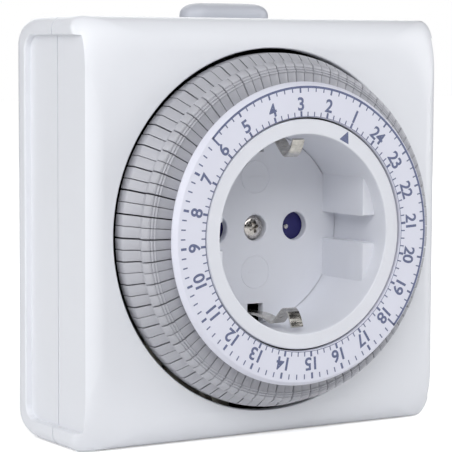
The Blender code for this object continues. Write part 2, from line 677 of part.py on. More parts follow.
def rod(spots, radius, sides=6):
    """Round rod through points, twisted as little as possible between them."""
    ahead = (spots[1] - spots[0]).normalized()
    across = ahead.orthogonal().normalized()
    sections = []
    for i, spot in enumerate(spots):
        heading = (spots[min(i + 1, len(spots) - 1)] - spots[max(i - 1, 0)]).normalized()
        across.rotate(ahead.rotation_difference(heading))
        ahead = heading
        upright = ahead.cross(across)
        turns = [2 * math.pi * k / sides for k in range(sides)]
        sections.append([point(*(spot + radius * (math.cos(turn) * across + math.sin(turn) * upright)))
                         for turn in turns])
    return loft(sections)


def build_leads(black, blue):
    """The motor's two insulated wires, from the neutral clip and the live bar to the back of its can."""
    wire = 0.6
    back = MOTOR_CAN_BACK + wire + GAP
    neutral = [(-PIN_X - 3.6, 20.0, -4.4), (-14.5, 21.0, -8.0), (-15.5, 24.0, -10.2), (-16.5, back, -13.0),
               (-19.0, back, -18.0)]
    live = [(PIN_X, 23.8, -3.2), (PIN_X - 1, 23.8, -8.0), (2.0, 23.6, -12.0), (-6.0, 24.2, -13.0),
            (-12.5, back, -17.0), (-17.0, back, -21.0)]
    add_object("motor_lead_neutral", rod(smooth_route(neutral), wire), blue)
    add_object("motor_lead_live", rod(smooth_route(live), wire), black)


def build_override(button_look, spring_look, case_look, lever_look):
    wide, deep = BUTTON_LENGTH / 2, BUTTON_WIDTH / 2
    steps = ((38.0, -0.9), (39.2, -0.9), (39.2, 0.0), (43.0, 0.0), (44.3, 0.7), (45.1, 2.1),
             (BUTTON_TOP, 4.0))
    sections = []
    for z, inset in steps:
        half = deep - min(inset, deep - 1)
        radius = min(max(BUTTON_CORNER - inset, 0.2), half)
        outline = rounded_rectangle(wide - inset, half, radius, (0, BUTTON_DEPTH))
        sections.append([point(x, depth, z) for x, depth in outline])
    button = add_object("override_button", loft(sections), button_look, (0, BUTTON_DEPTH, BUTTON_TOP))
    pivot_depth, pivot_z = LEVER_PIVOT
    tongue_top = pivot_z + 0.6
    stem_outline = [(1.5, 38.5), (-1.5, 38.5), (-1.5, 26.5), (-0.6, tongue_top + GAP),
                    (0.6, tongue_top + GAP), (1.5, 26.5)]
    stem = prism([[(BUTTON_DEPTH + a, z) for a, z in stem_outline]], -1.5, 1.5, along_x)
    join(button, add_object("button_stem", stem))
    spring = coil((0, BUTTON_DEPTH), 3.1, 0.35, SHELF_TOP + GAP, 38.0 - GAP, 4, along_z)
    add_object("button_spring", spring, spring_look)

    case = add_object("switch_case", box((5.0, 24.0), (15.0, 21.4), (12.0, 22.0)), case_look)
    plunger = prism([circle((FEELER_X, pivot_depth + 1.9), 0.7, 10)], 21.0, 22.3, along_z)
    join(case, add_object("switch_plunger", plunger))

    arm = [(3.9, FEELER_Z - 0.6), (pivot_depth, pivot_z - 0.6), (pivot_depth + 2.4, pivot_z - 0.6),
           (pivot_depth + 2.4, tongue_top), (pivot_depth, tongue_top), (3.9, FEELER_Z + 0.6)]
    lever = add_object("switch_lever", prism([arm], FEELER_X - 1.2, FEELER_X + 1.2, along_x), lever_look,
                       (FEELER_X, pivot_depth, pivot_z))
    near, far, low, high = pivot_depth - 0.5, pivot_depth + 0.6, pivot_z - 0.5, tongue_top - 0.1
    bar = [(near, low), (far, low), (far, high), (near, high)]
    join(lever, add_object("lever_bar", prism([bar], -2.0, FEELER_X + 4, along_x)))
    tongue = box((-2.2, 2.2), (pivot_depth, BUTTON_DEPTH + 1.6), (pivot_z - 0.4, tongue_top))
    join(lever, add_object("lever_tongue", tongue))


# ---------------------------------------------------------------- assembly

def build():
    for old in list(bpy.data.objects):
        bpy.data.objects.remove(old)
    nickel = material("nickel_plated", NICKEL, 0.28, 1.0)
    steel = material("steel", STEEL, 0.35, 1.0)
    acetal = material("acetal", ACETAL, 0.45)
    build_front_housing(material("housing_white", WHITE, 0.3))
    build_rear_housing(material("rear_housing_white", WHITE, 0.3))
    build_case_screws(material("screw_steel", STEEL, 0.3, 1.0))
    build_socket_insert(material("insert_white", INNER_WHITE, 0.35))
    screw("centre_screw", material("centre_screw_steel", NICKEL, 0.25, 1.0), 2.3, (6.8, 7.9), 1.2, 25.0, -1)
    build_shutter(material("shutter_blue", BLUE, 0.4), steel)
    build_contacts(material("brass", BRASS, 0.3, 1.0), nickel)
    build_earth(nickel)
    build_dial(material("dial_white", DIAL_WHITE, 0.4), acetal)
    build_tabs(material("tab_grey", TAB_GREY, 0.4))
    build_movement(acetal, steel, material("motor_zinc", STEEL, 0.4, 1.0))
    build_leads(material("lead_black", BLACK, 0.5), material("lead_blue", BLUE, 0.5))
    build_override(material("button_grey", BUTTON_GREY, 0.4), steel,
                   material("switch_black", BLACK, 0.5), acetal)


build()
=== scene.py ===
"""Looks of the 24-hour socket timer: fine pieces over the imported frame, materials, light and camera.

Shapes are written in case millimetres, (x, depth, z): depth runs from the housing's flat front towards
the wall, and the dial, the outlet and the plug share the axis x = z = 0.
"""
import json
import math
import random

import bmesh
import bpy
from mathutils import Matrix, Vector


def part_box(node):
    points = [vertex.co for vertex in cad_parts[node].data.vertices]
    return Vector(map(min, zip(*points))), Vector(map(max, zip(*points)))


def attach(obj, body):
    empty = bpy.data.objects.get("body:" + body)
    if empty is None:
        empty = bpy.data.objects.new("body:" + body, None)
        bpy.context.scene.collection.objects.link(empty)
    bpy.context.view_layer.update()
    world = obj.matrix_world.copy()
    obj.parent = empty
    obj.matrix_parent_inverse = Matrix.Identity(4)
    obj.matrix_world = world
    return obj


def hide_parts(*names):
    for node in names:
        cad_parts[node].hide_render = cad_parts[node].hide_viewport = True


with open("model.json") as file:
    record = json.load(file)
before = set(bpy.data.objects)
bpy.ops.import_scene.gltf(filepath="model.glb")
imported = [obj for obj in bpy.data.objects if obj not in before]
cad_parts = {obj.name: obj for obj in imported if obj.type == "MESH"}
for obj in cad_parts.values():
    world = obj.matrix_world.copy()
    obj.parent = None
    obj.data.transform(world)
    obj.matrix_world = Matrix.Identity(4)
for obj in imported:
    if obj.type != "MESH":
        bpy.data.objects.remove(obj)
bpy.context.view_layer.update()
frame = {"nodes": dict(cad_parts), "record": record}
MM = 0.001


def edge(node, end, axis):
    """Where a CAD node ends along a world axis, in millimetres; end is 0 for low, 1 for high."""
    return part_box(node)[end][axis] / MM


FRONT = edge("front_housing", 0, 1)           # world y of the housing's flat front
MOUNTS = {mount["name"]: mount["pos_m"] for mount in frame["record"]["mounts"]}


def depth_of(node, end):
    return edge(node, end, 1) - FRONT


# driving sizes, in millimetres, read from the frame
HALF_WIDTH = edge("front_housing", 1, 0)
CASE_TOP, CASE_BOTTOM = edge("front_housing", 1, 2), edge("front_housing", 0, 2)
HALF_HEIGHT, CASE_RISE = (CASE_TOP - CASE_BOTTOM) / 2, (CASE_TOP + CASE_BOTTOM) / 2
CASE_DEPTH = MOUNTS["rear_face"][1] / MM - FRONT
PLUG_FACE = MOUNTS["plug_face"][1] / MM - FRONT
FLOOR = MOUNTS["outlet_floor"][1] / MM - FRONT
SEAM = 0.3                                    # gap of the joint between the housing's halves
SEAM_FRONT = depth_of("front_housing", 1)
SEAM_REAR = SEAM_FRONT + SEAM
BEZEL_R, BEZEL_FRONT = edge("socket_insert", 1, 0), depth_of("socket_insert", 0)
DIAL_R, DIAL_FRONT, DIAL_BACK = edge("dial_face", 1, 0), depth_of("dial_face", 0), depth_of("dial_face", 1)
PIN_TIP, PIN_TAIL = depth_of("live_pin", 1), depth_of("live_pin", 0)
BUTTON_TOP = edge("override_button", 1, 2)
BUTTON_DEPTH = (depth_of("override_button", 0) + depth_of("override_button", 1)) / 2
FLANGE = 0.9                                  # hidden rim all round the button's foot
FLANGE_TOP = CASE_TOP - 2.7
BUTTON_HALF = edge("override_button", 1, 0) - FLANGE
BUTTON_HALF_DEEP = depth_of("override_button", 1) - BUTTON_DEPTH - FLANGE
BUTTON_CORNER = BUTTON_HALF_DEEP - 0.3        # nearly a half circle at each end

# sizes of the fine shapes, in millimetres
WALL = 2.2
HOLLOW_CORNER = 1.5                           # of the space inside the housing's walls
SIDE_EDGE, TOP_EDGE, EDGE_DEPTH = 4.8, 6.6, 5.5
REAR_EDGE, REAR_REACH, REAR_DROP = 4.3, 10.4, 2.8
CASE_CORNER, FRONT_CORNER, REAR_CORNER = 2.5, 14.0, 8.0
CORNER_OPENING = 0.6                          # below 1, the corners widen sooner towards the front
POCKET, POCKET_REAR, POCKET_LOW, POCKET_HIGH, POCKET_CORNER = 1.3, 24.3, -37.5, 38.3, 3.0
OPENING_R = 36.0
RECESS_R = 19.43
DIAL_BORE, FACE_R = 22.76, 28.9               # the dial's flat face runs between these radii
PIN_X, PIN_HOLE_R = 9.5, 2.85
PLUG_R, PIN_R = 18.4, 2.4
SCREW_X, SCREW_Z = 35.5, 34.6
TAB_R = 32.0                                  # middle of the tabs, where their slots are measured
FILM = 0.015                                  # height of the print over the plastic
PRINT_DEPTH = DIAL_FRONT - FILM

# the dial: 24 hours of four tabs, numbered counterclockwise; angles are clockwise from the top
HOURS = 24
HOUR = 2 * math.pi / HOURS
QUARTER = HOUR / 4
PRINT_TURN = math.radians(-3.33)      # where the print's hour 3 stands
TAB_TURN = math.radians(-3.67)        # where hour 3's first tab begins

WHITE = (0.78, 0.797, 0.843)
CUP_WHITE = (0.72, 0.735, 0.79)
DIAL_WHITE = (0.70, 0.71, 0.805)
SLATE = (0.12, 0.14, 0.25)
TAB_GREY = (0.43, 0.435, 0.475)
BUTTON_GREY = (0.54, 0.56, 0.62)
NICKEL = (0.62, 0.60, 0.56)
# painted shade: the housing's hollow is coloured near black to stand for the shade inside it
PAINTED_SHADE = (0.012, 0.016, 0.014)


# ---------------------------------------------------------------- materials

class Nodes:
    """A material's node tree, with short calls for the few nodes that every finish here uses."""

    def __init__(self, name, colour, roughness, metallic=0.0):
        self.material = bpy.data.materials.new(name)
        self.material.use_nodes = True
        self.tree = self.material.node_tree
        self.shader = self.tree.nodes["Principled BSDF"]
        self.shader.inputs["Base Color"].default_value = (*colour, 1.0)
        self.shader.inputs["Roughness"].default_value = roughness
        self.shader.inputs["Metallic"].default_value = metallic
        self.place = self.tree.nodes.new("ShaderNodeTexCoord").outputs["Object"]

    def link(self, source, target):
        self.tree.links.new(source, target)

    def noise(self, size, detail=3.0, stretch=(1, 1, 1)):
        """Noise whose features are about size millimetres across, stretched along the axes."""
        mapping = self.tree.nodes.new("ShaderNodeMapping")
        mapping.inputs["Scale"].default_value = [1 / (size * MM * factor) for factor in stretch]
        self.link(self.place, mapping.inputs["Vector"])
        noise = self.tree.nodes.new("ShaderNodeTexNoise")
        noise.inputs["Scale"].default_value = 1.0
        noise.inputs["Detail"].default_value = detail
        self.link(mapping.outputs["Vector"], noise.inputs["Vector"])
        return noise.outputs["Fac"]

    def between(self, factor, low, high, start=0.35, end=0.65):
        """Spread a noise's middle range between two values."""
        spread = self.tree.nodes.new("ShaderNodeMapRange")
        spread.inputs["From Min"].default_value = start
        spread.inputs["From Max"].default_value = end
        spread.inputs["To Min"].default_value = low
        spread.inputs["To Max"].default_value = high
        self.link(factor, spread.inputs["Value"])
        return spread.outputs["Result"]

    def tint(self, factor, first, second):
        """Base colour between two colours."""
        ramp = self.tree.nodes.new("ShaderNodeValToRGB")
        ramp.color_ramp.elements[0].position = 0.35
        ramp.color_ramp.elements[1].position = 0.65
        ramp.color_ramp.elements[0].color = (*first, 1.0)
        ramp.color_ramp.elements[1].color = (*second, 1.0)
        self.link(factor, ramp.inputs["Fac"])
        self.link(ramp.outputs["Color"], self.shader.inputs["Base Color"])

    def rough(self, factor, low, high):
        self.link(self.between(factor, low, high), self.shader.inputs["Roughness"])

    def bump(self, height, depth):
        """Relief of about depth millimetres."""
        bump = self.tree.nodes.new("ShaderNodeBump")
        bump.inputs["Strength"].default_value = 1.0
        bump.inputs["Distance"].default_value = depth * MM
        self.link(height, bump.inputs["Height"])
        self.link(bump.outputs["Normal"], self.shader.inputs["Normal"])


def shade(colour, factor):
    return tuple(min(1.0, channel * factor) for channel in colour)


def plastic(name, colour, roughness=0.32, grain=0.25, relief=0.0012, mottle=0.03):
    """Moulded plastic: fine spark texture, faint flow marks and an uneven gloss."""
    nodes = Nodes(name, colour, roughness)
    nodes.tint(nodes.noise(14.0, 4.0, (1.0, 1.0, 1.6)), shade(colour, 1 - mottle), shade(colour, 1 + mottle))
    nodes.rough(nodes.noise(5.0, 5.0), roughness - 0.015, roughness + 0.025)
    nodes.bump(nodes.noise(grain, 2.0), relief)
    nodes.shader.inputs["Specular IOR Level"].default_value = 0.45
    return nodes.material


def metal(name, colour, roughness=0.22, stretch=(1, 1, 1), relief=0.0012, stain=0.18):
    """Plated or rolled metal with fine scratches along its length and a few duller stains."""
    nodes = Nodes(name, colour, roughness, 1.0)
    nodes.tint(nodes.noise(1.6, 4.0), shade(colour, 1 - stain), shade(colour, 1 + stain / 2))
    nodes.rough(nodes.noise(0.5, 5.0, stretch), roughness - 0.07, roughness + 0.12)
    nodes.bump(nodes.noise(0.12, 3.0, stretch), relief)
    return nodes.material


def ink(name, colour):
    """Pad print: a matt film with slightly uneven cover."""
    nodes = Nodes(name, colour, 0.5)
    nodes.tint(nodes.noise(0.35, 3.0), shade(colour, 0.85), shade(colour, 1.2))
    nodes.rough(nodes.noise(0.6), 0.42, 0.6)
    nodes.bump(nodes.noise(0.15), 0.0008)
    return nodes.material


def make_materials():
    looks = {
        "housing": plastic("housing_plastic", WHITE, 0.34, 0.3, 0.0005, 0.004),
        # painted shade on the faces of the housing's hollow
        "inside": plastic("housing_inside_painted_shade", PAINTED_SHADE, 0.6, 0.3, 0.002, 0.1),
        "cup": plastic("cup_plastic", CUP_WHITE, 0.33, 0.4, 0.001, 0.01),
        "dial": plastic("dial_plastic", DIAL_WHITE, 0.4, 0.2, 0.001, 0.01),
        "tab": plastic("tab_plastic", TAB_GREY, 0.36, 0.12, 0.0016, 0.05),
        "button": plastic("button_plastic", BUTTON_GREY, 0.42, 0.2, 0.002, 0.02),
        "print": ink("slate_ink", SLATE),
        "nickel": metal("nickel_strip", NICKEL, 0.2, (6, 1, 1)),
        "pin": metal("nickel_pin", NICKEL, 0.18, (1, 8, 1)),
        "screw": metal("plated_screw", (0.66, 0.63, 0.60), 0.2),
        "steel": metal("bright_steel", (0.55, 0.55, 0.55), 0.3),
        "brass": metal("brass_strip", (0.74, 0.56, 0.25), 0.28, (1, 6, 1)),
        "zinc": metal("zinc_can", (0.5, 0.5, 0.48), 0.4, (1, 1, 5), 0.002, 0.25),
        # the shutter's deep blue, darkened further as painted shade for the vane's place in shadow behind the
        # pin holes
        "blue": plastic("shutter_plastic_painted_shade", (0.016, 0.014, 0.12), 0.3, 0.3, 0.002, 0.15),
        "acetal": plastic("acetal_plastic", (0.78, 0.75, 0.64), 0.45, 0.3, 0.002, 0.04),
        "black": plastic("black_plastic", (0.02, 0.02, 0.022), 0.45, 0.3, 0.003, 0.2),
    }
    return looks


LOOKS = make_materials()
INNER_LOOKS = {"live_contact": "brass", "neutral_contact": "brass", "live_busbar": "brass",
               "switched_busbar": "brass", "earth_bridge": "nickel", "wheel_bearing_ring": "black",
               "gear_axle": "steel", "movement_plate": "zinc", "motor_can": "zinc",
               "motor_lead_neutral": "blue", "motor_lead_live": "black", "button_spring": "steel",
               "shutter_spring": "steel", "switch_case": "black", "switch_lever": "acetal",
               "reduction_gear": "acetal", "motor_pinion": "acetal", "tripper_wheel": "black"}


def dress_inner_nodes():
    """The pieces inside keep their CAD shapes and get worked materials."""
    for node, look in INNER_LOOKS.items():
        slots = frame["nodes"][node].material_slots
        for slot in slots:
            slot.material = LOOKS[look]


# ---------------------------------------------------------------- building blocks

def point(x, depth, z):
    """World position of a place in case millimetres."""
    return Vector((x, FRONT + depth, z)) * MM


def polar(radius, turn):
    """(x, z) at an angle clockwise from the top, seen from the front."""
    return radius * math.sin(turn), radius * math.cos(turn)


def polar_point(radius, depth, turn):
    x, z = polar(radius, turn)
    return point(x, depth, z)


def add_object(name, shape, look=None, smooth=35.0):
    """Turn a bmesh into an object with one material, smooth apart from its sharp edges."""
    bmesh.ops.remove_doubles(shape, verts=shape.verts, dist=1e-8)
    bmesh.ops.recalc_face_normals(shape, faces=shape.faces)
    mesh = bpy.data.meshes.new(name)
    shape.to_mesh(mesh)
    shape.free()
    made = bpy.data.objects.new(name, mesh)
    bpy.context.scene.collection.objects.link(made)
    if look:
        mesh.materials.append(LOOKS[look])
    smooth_shape(made, smooth)
    return made


def smooth_shape(made, angle):
    made.data.shade_smooth()
    made.data.set_sharp_from_angle(angle=math.radians(angle))


def settle(made):
    """Apply an object's modifiers to its mesh."""
    bpy.context.view_layer.update()
    view = bpy.context.evaluated_depsgraph_get()
    mesh = bpy.data.meshes.new_from_object(made.evaluated_get(view), depsgraph=view)
    made.modifiers.clear()
    made.data = mesh


def combine(base, tools, operation):
    """Join shapes to base, or cut them from it, then drop them."""
    for tool in tools:
        step = base.modifiers.new(tool.name, "BOOLEAN")
        step.operation = operation
        step.object = tool
    settle(base)
    for tool in tools:
        bpy.data.objects.remove(tool)


def weigh_normals(made):
    """Keep large flat faces flat beside small rounded edges."""
    step = made.modifiers.new("weighted_normals", "WEIGHTED_NORMAL")
    step.keep_sharp = True
    step.weight = 100
    settle(made)


def loft(sections, closed_ends=True):
    shape = bmesh.new()
    rings = [[shape.verts.new(place) for place in section] for section in sections]
    for near, far in zip(rings, rings[1:]):
        for i in range(len(near)):
            shape.faces.new((near[i - 1], near[i], far[i], far[i - 1]))
    if closed_ends:
        shape.faces.new(rings[0])
        shape.faces.new(rings[-1])
    return shape


def turned(profile, chords=192, centre=(0, 0)):
    """Turn an outline of (radius, depth) about the depth axis through centre."""
    shape = bmesh.new()
    rings = []
    for radius, depth in profile:
        if radius == 0:
            rings.append([shape.verts.new(point(centre[0], depth, centre[1]))] * chords)
            continue
        spots = [polar(radius, 2 * math.pi * (i + 0.5) / chords) for i in range(chords)]
        rings.append([shape.verts.new(point(centre[0] + x, depth, centre[1] + z)) for x, z in spots])
    for near, far in zip(rings, rings[1:] + rings[:1]):
        for i in range(chords):
            corners = list(dict.fromkeys((near[i - 1], near[i], far[i], far[i - 1])))
            if len(corners) > 2:
                shape.faces.new(corners)
    return shape


def prism(loops, low, high, place):
    """Extrude an outline, with holes, between two levels; place(a, b, level) gives world points."""
    shape = bmesh.new()
    caps = []
    for level in (low, high):
        rings = [[shape.verts.new(place(a, b, level)) for a, b in loop] for loop in loops]
        edges = [shape.edges.new((ring[i - 1], ring[i])) for ring in rings for i in range(len(ring))]
        bmesh.ops.triangle_fill(shape, edges=edges, use_beauty=True)
        caps.append(rings)
    for near, far in zip(*caps):
        for i in range(len(near)):
            shape.faces.new((near[i - 1], near[i], far[i], far[i - 1]))
    return shape


def along_depth(a, b, level):
    return point(a, level, b)


def along_x(a, b, level):
    return point(level, a, b)


def along_z(a, b, level):
    return point(a, b, level)


def arc(centre, radius, start, end, steps):
    turns = [start + (end - start) * i / steps for i in range(steps + 1)]
    return [(centre[0] + radius * math.cos(turn), centre[1] + radius * math.sin(turn)) for turn in turns]


def circle(centre, radius, chords=48):
    return arc(centre, radius, 0, 2 * math.pi, chords)[:-1]


def rounded_rectangle(half_width, half_height, radius, centre=(0, 0), steps=14):
    outline = []
    for corner, (side, end) in enumerate(((1, 1), (-1, 1), (-1, -1), (1, -1))):
        middle = (centre[0] + side * (half_width - radius), centre[1] + end * (half_height - radius))
        outline += arc(middle, radius, corner * math.pi / 2, (corner + 1) * math.pi / 2, steps)
    return outline


def rounding(before, spot, after, radius, steps):
    """Points of an arc-like curve that rounds the corner at spot, between its two neighbours."""
    near, far = before - spot, after - spot
    reach = min(radius, near.length * 0.45, far.length * 0.45)
    start, end = spot + near.normalized() * reach, spot + far.normalized() * reach
    curve = []
    for step in range(steps + 1):
        t = step / steps
        curve.append(start * (1 - t) ** 2 + spot * 2 * t * (1 - t) + end * t ** 2)
    return curve


def soften(outline, radius, steps=4):
    """Round each corner of a closed outline."""
    spots = [Vector(spot) for spot in outline]
    soft = []
    for i, spot in enumerate(spots):
        curve = rounding(spots[i - 1], spot, spots[(i + 1) % len(spots)], radius, steps)
        soft += [tuple(place) for place in curve]
    return soft


def merge(name, shapes, look, smooth=35.0):
    """Several closed shapes in one object."""
    whole = bmesh.new()
    for shape in shapes:
        mesh = bpy.data.meshes.new("part")
        shape.to_mesh(mesh)
        shape.free()
        whole.from_mesh(mesh)
        bpy.data.meshes.remove(mesh)
    return add_object(name, whole, look, smooth)


def present(piece, body, slot, *nodes):
    """Piece rides on a body and stands for CAD nodes, which are hidden; the slot it is given is not used."""
    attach(piece, body)
    if nodes:
        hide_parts(*nodes)


# ---------------------------------------------------------------- housing

def case_section(depth, inset_x, inset_z, corner):
    outline = rounded_rectangle(HALF_WIDTH - inset_x, HALF_HEIGHT - inset_z, corner, (0, CASE_RISE))
    return [point(x, depth, z) for x, z in outline]


def front_edge_sections(steps=14):
    """The rounding from the flat front to the sides."""
    sections = []
    for step in range(steps + 1):
        turn = math.pi / 2 * step / steps
        away = 1 - math.sin(turn)
        corner = CASE_CORNER + (FRONT_CORNER - CASE_CORNER) * away ** CORNER_OPENING
        depth = EDGE_DEPTH * (1 - math.cos(turn))
        sections.append(case_section(depth, SIDE_EDGE * away, TOP_EDGE * away, corner))
    return sections


def rear_edge_sections(steps=20):
    """The rear rounding, which starts earlier at the top and bottom than at the sides."""
    sections = []
    for step in range(steps + 1):
        turn = math.pi / 2 * step / steps
        away = 1 - math.cos(turn)
        corner = CASE_CORNER + (REAR_CORNER - CASE_CORNER) * away
        depth = CASE_DEPTH - REAR_REACH * (1 - math.sin(turn))
        near = max(0.0, 1 - (CASE_DEPTH - depth) / REAR_EDGE)
        side_inset = REAR_EDGE * (1 - math.sqrt(1 - near ** 2))
        sections.append(case_section(depth, side_inset, REAR_DROP * away, corner))
    return sections


def pocket_outline(grow):
    """The side pocket seen from the side as (depth, z), open towards the front."""
    corner, past_front, steps = POCKET_CORNER + grow, -2.0, 12
    rear, low, high = POCKET_REAR + grow, POCKET_LOW - grow, POCKET_HIGH + grow
    return ([(past_front, low)] + arc((rear - corner, low + corner), corner, -math.pi / 2, 0, steps)
            + arc((rear - corner, high - corner), corner, 0, math.pi / 2, steps) + [(past_front, high)])


def pockets(sink=0.0):
    """Cutters of the two side pockets, with a soft rim and a soft step at the floor."""
    tools = []
    floor = HALF_WIDTH - POCKET - sink
    # x and how far the outline grows there
    steps = ((HALF_WIDTH + 1, 0.35), (HALF_WIDTH + 0.02, 0.32), (HALF_WIDTH - 0.12, 0.12),
             (HALF_WIDTH - 0.35, 0.0), (floor + 0.3, 0.0), (floor + 0.08, -0.08), (floor, -0.3))
    for side in (-1, 1):
        sections = [[point(side * x, depth, z) for depth, z in pocket_outline(grow)] for x, grow in steps]
        tools.append(add_object("pocket", loft(sections)))
    return tools


def screw_places():
    return [(side * SCREW_X, CASE_RISE + end * SCREW_Z) for side in (-1, 1) for end in (-1, 1)]


def build_front_shell():
    lip = 0.35
    hollow_front_corner = FRONT_CORNER - 3    # wide enough to leave a wall behind the rounded corners
    outer = front_edge_sections() + [case_section(SEAM_FRONT, 0, 0, CASE_CORNER)]
    inner = [case_section(SEAM_FRONT, WALL, WALL, HOLLOW_CORNER),
             case_section(WALL, WALL, WALL, hollow_front_corner)]
    shell = add_object("front_shell", loft(outer + inner), "housing")
    darken_inside(shell)
    mouth = ([(0, -1), (OPENING_R + lip, -1), (OPENING_R + lip, 0)]
             + [(OPENING_R + lip - a, b) for a, b in arc((0, lip), lip, -math.pi / 2, 0, 6)[1:]]
             + [(OPENING_R, WALL + 1), (0, WALL + 1)])
    combine(shell, [add_object("mouth", turned(mouth, 256))] + pockets(), "DIFFERENCE")
    smooth_shape(shell, 30)
    weigh_normals(shell)
    present(shell, "housing", "housing_white", "front_housing")


def darken_inside(shell):
    """Paint shade on the faces of a shell's hollow: they get the inside's near-black material, before any
    cuts.
    """
    shell.data.materials.append(LOOKS["inside"])
    slack = 0.01
    half_width, half_height = HALF_WIDTH - WALL + slack, HALF_HEIGHT - WALL + slack
    hollow = []
    for spot in shell.data.vertices:
        x, y, z = spot.co / MM
        inside = abs(x) < half_width and abs(z - CASE_RISE) < half_height
        hollow.append(inside and WALL - slack < y - FRONT < CASE_DEPTH - WALL + slack)
    for face in shell.data.polygons:
        if all(hollow[corner] for corner in face.vertices):
            face.material_index = 1


def build_seam():
    """The rear shell's tongue, which closes the joint just below the surface."""
    below = 0.4
    outer = [case_section(depth, below, below, CASE_CORNER - below) for depth in (SEAM_FRONT, SEAM_REAR)]
    inner = [case_section(depth, WALL, WALL, HOLLOW_CORNER) for depth in (SEAM_REAR, SEAM_FRONT)]
    shape = loft(outer + inner, False)
    tongue = add_object("seam_tongue", close_ring(shape), "housing")
    combine(tongue, pockets(below), "DIFFERENCE")
    present(tongue, "housing", "rear_housing_white")


def close_ring(shape):
    """Bridge the open first and last rings of a loft."""
    border = [line for line in shape.edges if line.is_boundary]
    bmesh.ops.bridge_loops(shape, edges=border)
    return shape


def plug_outline(shrink=0.0):
    """Round plug with flats for the guide blocks, a rib on each side and an earth notch at each end."""
    rib, flat, notch, notch_floor = 2.3, 16.0, 3.2, 15.7
    radius = PLUG_R - shrink
    first, last = math.acos((flat - shrink) / radius), math.acos((notch + shrink) / radius)
    outline = []
    for side, end in ((1, 1), (-1, 1), (-1, -1), (1, -1)):
        corner = [(math.sqrt(radius ** 2 - (rib - shrink) ** 2), rib - shrink), (flat - shrink, rib - shrink)]
        corner += arc((0, 0), radius, first, last, 24) + [(notch + shrink, notch_floor - shrink)]
        placed = [(side * x, end * z) for x, z in corner]
        outline += placed if side * end > 0 else placed[::-1]
    return outline


def plug_boss(foot):
    """The plug that goes into the wall, with a soft front edge."""
    soft, steps = 0.8, 6
    levels = [(foot, 0.0), (PLUG_FACE - soft, 0.0)]
    levels += [(PLUG_FACE - soft + soft * math.sin(turn), soft * (1 - math.cos(turn)))
               for turn in (math.pi / 2 * step / steps for step in range(1, steps + 1))]
    sections = [[point(x, depth, z) for x, z in plug_outline(shrink)] for depth, shrink in levels]
    return add_object("plug_boss", loft(sections))


def screw_posts(end):
    """Posts round the four case screws, from the seam to a depth inside the rear wall."""
    foot, radius = SEAM_REAR + 0.3, 3.9
    post = [(0, foot), (radius, foot), (radius, end), (0, end)]
    return [add_object("post", turned(post, 40, place)) for place in screw_places()]


def spring_shelf(end, top):
    """Shelf on the rear wall that the button's spring stands on."""
    half, front, thickness = 6, 14.6, 1.2
    shelf = [(-half, front), (half, front), (half, end), (-half, end)]
    return add_object("shelf", prism([shelf], top - thickness, top, along_z))


def plug_cutters(back):
    """Cutters of the pins' holes and of the slots that the earth clips come out of."""
    hole_r, mouth_r = PIN_R + 0.15, PIN_R + 0.5
    hole = [(0, PIN_TAIL - 1), (hole_r, PIN_TAIL - 1), (hole_r, PLUG_FACE - 0.3), (mouth_r, PLUG_FACE + 0.05),
            (mouth_r, PLUG_FACE + 1), (0, PLUG_FACE + 1)]
    holes = [add_object("pin_hole", turned(hole, 48, (side * PIN_X, 0))) for side in (-1, 1)]
    half, low, high = 2.8, 15.8, 18.2
    slots = []
    for end in (-1, 1):
        slot = [(-half, end * low), (half, end * low), (half, end * high), (-half, end * high)]
        slots.append(add_object("earth_slot", prism([slot], back - 1, CASE_DEPTH + 1, along_depth)))
    return holes, slots


def screw_cutters():
    """Stepped wells of the four case screws, with a soft mouth."""
    shank_r, head_r, seat, soft = 1.6, 3.0, 24.5, 0.3
    well = [(0, SEAM_REAR - 1), (shank_r, SEAM_REAR - 1), (shank_r, seat), (head_r, seat),
            (head_r, CASE_DEPTH - soft), (head_r + soft, CASE_DEPTH), (head_r + soft, CASE_DEPTH + 1),
            (0, CASE_DEPTH + 1)]
    return [add_object("screw_well", turned(well, 48, place)) for place in screw_places()]


def button_cutters(shelf_top):
    """Cutters of the hole in the top wall and of the one in the shelf that the button's stem passes."""
    gap, stem = 0.3, 2
    hole = rounded_rectangle(BUTTON_HALF + gap, BUTTON_HALF_DEEP + gap, BUTTON_CORNER + gap,
                             (0, BUTTON_DEPTH))
    near, far = BUTTON_DEPTH - stem, BUTTON_DEPTH + stem
    square = [(-stem, near), (stem, near), (stem, far), (-stem, far)]
    wall_low, wall_high = 36.0, 44.0
    return [add_object("button_hole", prism([hole], wall_low, wall_high, along_z)),
            add_object("stem_hole", prism([square], shelf_top - 2, shelf_top + 1, along_z))]


def build_rear_shell():
    back = CASE_DEPTH - WALL
    sections = [case_section(depth, WALL, WALL, HOLLOW_CORNER) for depth in (back, SEAM_REAR)]
    sections += [case_section(SEAM_REAR, 0, 0, CASE_CORNER)] + rear_edge_sections()
    shell = add_object("rear_shell", loft(sections), "housing")
    darken_inside(shell)
    in_wall = back + 1                        # where what stands on the rear wall ends, inside it
    shelf_top = edge("button_spring", 0, 2) - 0.3
    combine(shell, [plug_boss(in_wall)] + screw_posts(in_wall) + [spring_shelf(in_wall, shelf_top)], "UNION")
    pin_holes, earth_slots = plug_cutters(back)
    tools = pin_holes + screw_cutters() + earth_slots + button_cutters(shelf_top)
    combine(shell, tools + pockets(), "DIFFERENCE")
    smooth_shape(shell, 30)
    weigh_normals(shell)
    present(shell, "housing", "rear_housing_white", "rear_housing")


